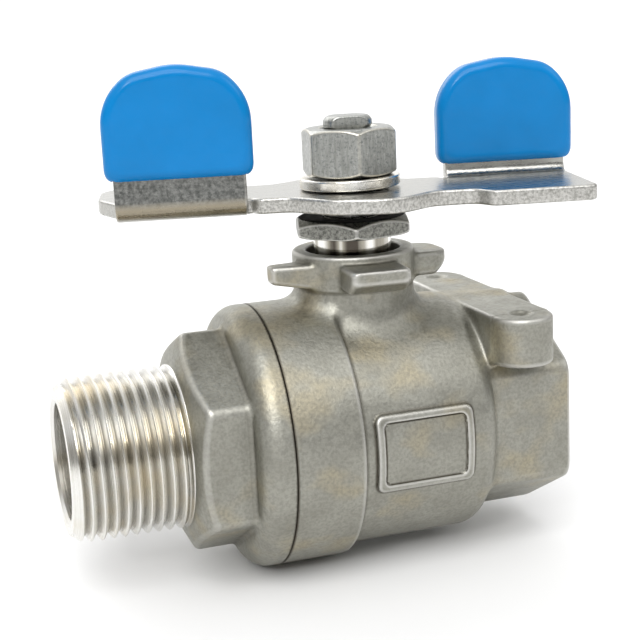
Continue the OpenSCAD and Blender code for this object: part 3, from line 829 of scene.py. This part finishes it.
def seat_plastic():
    """White fluoropolymer with turning marks."""
    s = Shader("seat_plastic", 0.0, 0.45)
    marks = s.noise(4000, 2, vector=s.around_pipe())
    s.colour(s.ramp(marks, [(0.3, (0.78, 0.78, 0.76)), (0.7, (0.88, 0.88, 0.86))]))
    s.roughness(s.ramp(s.noise(600, 2), [(0.3, 0.4), (0.7, 0.55)]))
    s.bump(marks, 0.15, 0.00004)
    return s.material


def seal_rubber():
    """Black O-ring rubber."""
    s = Shader("seal_rubber", 0.0, 0.6)
    s.colour(s.ramp(s.noise(900, 3), [(0.3, (0.012, 0.012, 0.012)), (0.7, (0.035, 0.035, 0.034))]))
    s.roughness(s.ramp(s.noise(700, 2), [(0.3, 0.5), (0.7, 0.7)]))
    s.bump(s.noise(2500, 1), 0.1, 0.00005)
    return s.material


# ---------------------------------------------------------------- surface attributes


def vertex_places(piece):
    """Where a piece's vertices are, in millimetres."""
    places = np.empty(len(piece.data.vertices) * 3, np.float32)
    piece.data.vertices.foreach_get("co", places)
    return places.reshape(-1, 3).astype(float) / MM


def add_attribute(piece, name, values):
    """Stores one value per vertex for the materials to read."""
    piece.data.attributes.new(name, "FLOAT", "POINT").data.foreach_set("value", values.astype(np.float32))


def mark_wear(piece, field, reach, gain, joint=None):
    """Stores how convex the surface is at each vertex: 0.5 on a flat, towards 1 on edges and 0 in corners.

    Within a hair of X = joint it stores 0, which keeps a joint between two pieces dark. The materials read
    its high values as edge wear; the cast steel paints its low values as shade in corners and creases."""
    places = vertex_places(piece)
    total = -6 * field(*places.T)
    for axis in range(3):
        step = np.zeros(3)
        step[axis] = reach
        total = total + field(*(places + step).T) + field(*(places - step).T)
    worn = np.clip(0.5 + gain * total / reach, 0, 1)
    if joint is not None:
        worn *= np.clip(np.abs(places[:, 0] - joint) / 0.35 - 0.3, 0, 1)
    add_attribute(piece, "worn", worn)


def mark_plate(piece):
    """Stores which parts of the plate are sheared edges, the wings' outer faces, which are painted darker as
    shade, and their bends.
    """
    places = vertex_places(piece)
    x, y = turned(places[:, 0], places[:, 1], REST_TURN)
    z = places[:, 2]
    edge = np.where(z < PLATE_Z + PLATE_T + 0.2, plate_plan(x, y), -9.0)
    for side, rise in ((1, -WING_STEP), (-1, WING_STEP)):
        on_wing = (side * y > BEND_START + 0.26) & (side * x > WING_NEAR - 0.8)
        edge[on_wing] = polygon(side * x, z, wing_face(0, rise, PLATE_Z - 2))[on_wing]
    add_attribute(piece, "sheared", np.clip((edge + 0.3) / 0.15, 0, 1) * (x > -WING_FAR + 0.5))
    outer = np.clip(np.abs(y) - WING_FACE + 1.8, 0, 1) * (np.abs(x) > WING_NEAR - 0.5) * (x * y > 0)
    upright_from, bend_to = 38.6, 40.2
    add_attribute(piece, "upright", outer * np.clip((z - upright_from) / 1.4, 0, 1))
    add_attribute(piece, "bend", outer * np.clip((bend_to - z) / 1.2, 0, 1))


def mark_grooves(piece, low):
    """Stores 0 on the crests and 1 in the roots of a thread that starts at low, which the machined steel
    paints as shade.
    """
    places = vertex_places(piece)
    turn = np.arctan2(places[:, 2], places[:, 1]) / (2 * math.pi) % 1.0
    phase = (places[:, 0] - low) / THREAD_PITCH + 1 - turn
    away = np.hypot(places[:, 1], places[:, 2])
    threaded = (np.abs(away - THREAD_MID_R) < 1.6) & (places[:, 0] > low + 1.4)
    add_attribute(piece, "groove", np.where(threaded, thread_wave(phase), 0))


# ---------------------------------------------------------------- pieces

BUILDERS = (cast_steel, machined_steel, polished_steel, streaked_steel, gland_steel, oiled_steel, nut_steel,
            plate_steel, blue_vinyl, seat_plastic, seal_rubber)
MATERIALS = {build.__name__: build() for build in BUILDERS}


def place(piece, body, material, slot, *nodes):
    """Gives a piece its material, puts it on its body and hides the nodes that it stands for. The slot is
    not used.
    """
    piece.data.materials.clear()
    piece.data.materials.append(MATERIALS[material])
    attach(piece, body)
    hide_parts(*nodes)


def second_material(piece, material, chosen):
    """Adds a material for the faces that chosen picks by their middle, in millimetres, and normal."""
    piece.data.materials.append(MATERIALS[material])
    index = len(piece.data.materials) - 1
    for face in piece.data.polygons:
        if chosen(face.center / MM, face.normal):
            face.material_index = index


def around(low, high, margin=0.4):
    """A box with a little room round it, for sculpt."""
    return np.array(low) - margin, np.array(high) + margin


casting = sculpt("body_casting", body_casting, *around(body_low, body_high), 0.3)
mark_wear(casting, both_castings, 0.35, 0.5, joint=-SPLIT)
place(casting, "valve_body", "cast_steel", "cast_steel", "body")
cap = sculpt("cap_casting", cap_casting, *around((-34, *cap_low[1:]), cap_high), 0.3)
mark_wear(cap, both_castings, 0.35, 0.5, joint=-SPLIT)
place(cap, "valve_body", "cast_steel", "cast_steel", "end_cap")

second_material(casting, "machined_steel", lambda at, normal: at.x > FEMALE_END - 0.12 and normal.x > 0.9)

LINER_END = 13.6  # how near the ball the machined bores reach, on both sides
LINER_R = PORT_R + 0.8  # their hidden outside
SOCKET_R = 14.0  # and that of the female thread
nose_inside = [(-MALE_END, PORT_R + 0.5), (-MALE_END + 0.5, PORT_R), (-LINER_END, PORT_R),
               (-LINER_END, LINER_R), (THREAD_START, LINER_R)]
nose = threaded_tube("cap_threaded_nose", male_radius, -MALE_END, THREAD_START, nose_inside)
mark_grooves(nose, -MALE_END)
place(nose, "valve_body", "machined_steel", "machined_steel", "end_cap")
socket_outside = [(SOCKET_FLOOR, PORT_R), (LINER_END, PORT_R), (LINER_END, LINER_R),
                  (SOCKET_FLOOR - 0.4, SOCKET_R), (FEMALE_END, SOCKET_R)]
socket = threaded_tube("body_threaded_socket", female_radius, SOCKET_FLOOR, FEMALE_END, socket_outside)
mark_grooves(socket, SOCKET_FLOOR)
place(socket, "valve_body", "machined_steel", "machined_steel", "body")

ball = sculpt("ball_turned", ball_shape, *around(ball_low, ball_high), 0.3)
place(ball, "ball", "polished_steel", "polished_steel", "ball")
stem = sculpt("stem_turned", stem_shape, *around(stem_low, stem_high), 0.16)
place(stem, "handle", "polished_steel", "polished_steel", "stem")
second_material(stem, "nut_steel", lambda at, normal: at.z > PLATE_Z)
gland = sculpt("gland_nut_turned", gland_shape, *around(gland_low, gland_high), 0.16)
mark_wear(gland, gland_shape, 0.2, 0.9)
place(gland, "valve_body", "gland_steel", "polished_steel", "gland_nut")
# painted reflection: the gland nut's shank gets the stripe-painted steel
second_material(gland, "streaked_steel", lambda at, normal: at.z < GLAND_HEX_Z - 0.1)
# painted shade: the gland nut's top faces, under the plate, get the near-black material
second_material(gland, "oiled_steel", lambda at, normal: at.z > gland_high[2] - 0.12)
nut = sculpt("stem_nut_turned", nut_shape, *around(nut_low, nut_high), 0.14)
mark_wear(nut, nut_shape, 0.2, 0.9)
place(nut, "handle", "nut_steel", "polished_steel", "stem_nut")
washer = sculpt("spring_washer_split", washer_shape, *around(washer_low, washer_high), 0.13)
place(washer, "handle", "machined_steel", "machined_steel", "spring_washer")
plate = sculpt("handle_stamping", plate_shape, *around(plate_low, plate_high), 0.28)
mark_plate(plate)
place(plate, "handle", "plate_steel", "plate_steel", "handle_plate")
for name, shape in (("grip_left", left_sleeve), ("grip_right", right_sleeve)):
    grip = sculpt(name + "_sleeve", shape, *around(*node_box(name)), 0.28)
    place(grip, "handle", "blue_vinyl", "blue_vinyl", name)

# The sealed pieces inside keep their CAD shapes
INSIDE = {
    "seat_plastic": ("seat_ring_cap_side", "seat_ring_body_side", "cap_gasket", "thrust_washer",
                     "packing_base_ring", "packing_ring_lower", "packing_ring_middle", "packing_ring_upper"),
    "seal_rubber": ("stem_o_ring",),
    "polished_steel": ("gland_follower",),
}
for material, nodes in INSIDE.items():
    for node in nodes:
        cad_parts[node].data.materials.clear()
        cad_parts[node].data.materials.append(MATERIALS[material])

# ---------------------------------------------------------------- floor, light and camera


def pale_floor():
    """Plain matt white."""
    s = Shader("pale_floor", 0.0, 0.7)
    s.colour(s.ramp(s.noise(12, 2), [(0.3, (0.79, 0.79, 0.79)), (0.7, (0.81, 0.81, 0.81))]))
    return s.material


FLOOR_HALF = 60000
corner_signs = ((-1, -1), (1, -1), (1, 1), (-1, 1))
floor_corners = [(sx * FLOOR_HALF, sy * FLOOR_HALF, -RING_R) for sx, sy in corner_signs]
floor = new_object("floor", floor_corners, [(0, 1, 2, 3)], smooth=False)
floor.data.materials.append(pale_floor())


def studio_world():
    """Soft surroundings: pale overhead and behind, dim in front, so that metal has something to show."""
    world = bpy.data.worlds.new("studio")
    world.use_nodes = True
    tree = world.node_tree
    direction = tree.nodes.new("ShaderNodeTexCoord").outputs["Generated"]
    parts = tree.nodes.new("ShaderNodeSeparateXYZ")
    tree.links.new(direction, parts.inputs[0])
    greys = []
    by_height = ((0.0, 0.12), (0.3, 0.35), (0.6, 0.8), (1.0, 1.0))
    by_depth = ((0.3, 0.0), (0.9, 0.95))
    for axis, stops in ((2, by_height), (1, by_depth)):
        ramp = tree.nodes.new("ShaderNodeValToRGB")
        tree.links.new(parts.outputs[axis], ramp.inputs[0])
        elements = ramp.color_ramp.elements
        while len(elements) < len(stops):
            elements.new(0.5)
        for element, (at, grey) in zip(elements, stops):
            element.position = at
            element.color = (grey, grey, grey, 1)
        greys.append(ramp.outputs[0])
    total = tree.nodes.new("ShaderNodeVectorMath")
    total.operation = "ADD"
    tree.links.new(greys[0], total.inputs[0])
    tree.links.new(greys[1], total.inputs[1])
    tree.links.new(total.outputs[0], tree.nodes["Background"].inputs["Color"])
    bpy.context.scene.world = world


studio_world()


def sun(name, direction, spread, strength):
    """A broad soft light that shines along a direction."""
    light = bpy.data.lights.new(name, "SUN")
    light.angle = math.radians(spread)
    light.energy = strength
    lamp = bpy.data.objects.new(name, light)
    bpy.context.scene.collection.objects.link(lamp)
    lamp.rotation_euler = Vector(direction).to_track_quat("-Z", "Y").to_euler()


sun("key_light", (0.35, 0.75, -1.0), 45, 1.9)
sun("side_light", (-0.9, 0.5, -0.75), 30, 0.35)
sun("back_light", (0.2, -0.9, -0.7), 40, 0.5)
sun("spark", (0.62, 0.72, -0.55), 7, 0.35)

camera_data = bpy.data.cameras.new("camera")
camera_data.sensor_width = 36
camera_data.lens = 77.15
camera_data.clip_start = 0.01
camera = bpy.data.objects.new("camera", camera_data)
bpy.context.scene.collection.objects.link(camera)
bpy.context.scene.camera = camera
AZIMUTH, ELEVATION, ROLL = (math.radians(angle) for angle in (18.16, 13.07, 2.72))
DISTANCE, ASIDE, ABOVE = 228.97, -5.94, 17.43
ahead = Vector((math.sin(AZIMUTH) * math.cos(ELEVATION), math.cos(AZIMUTH) * math.cos(ELEVATION),
                -math.sin(ELEVATION)))
right = Vector((math.cos(AZIMUTH), -math.sin(AZIMUTH), 0))
up = right.cross(ahead)
rolled_right = math.cos(ROLL) * right - math.sin(ROLL) * up
rolled_up = math.sin(ROLL) * right + math.cos(ROLL) * up
position = right * ASIDE + Vector((0, 0, ABOVE)) - ahead * DISTANCE
axes = Matrix((rolled_right, rolled_up, -ahead)).transposed().to_4x4()
camera.matrix_world = Matrix.Translation(position * MM) @ axes

bpy.context.scene.view_settings.view_transform = "Standard"
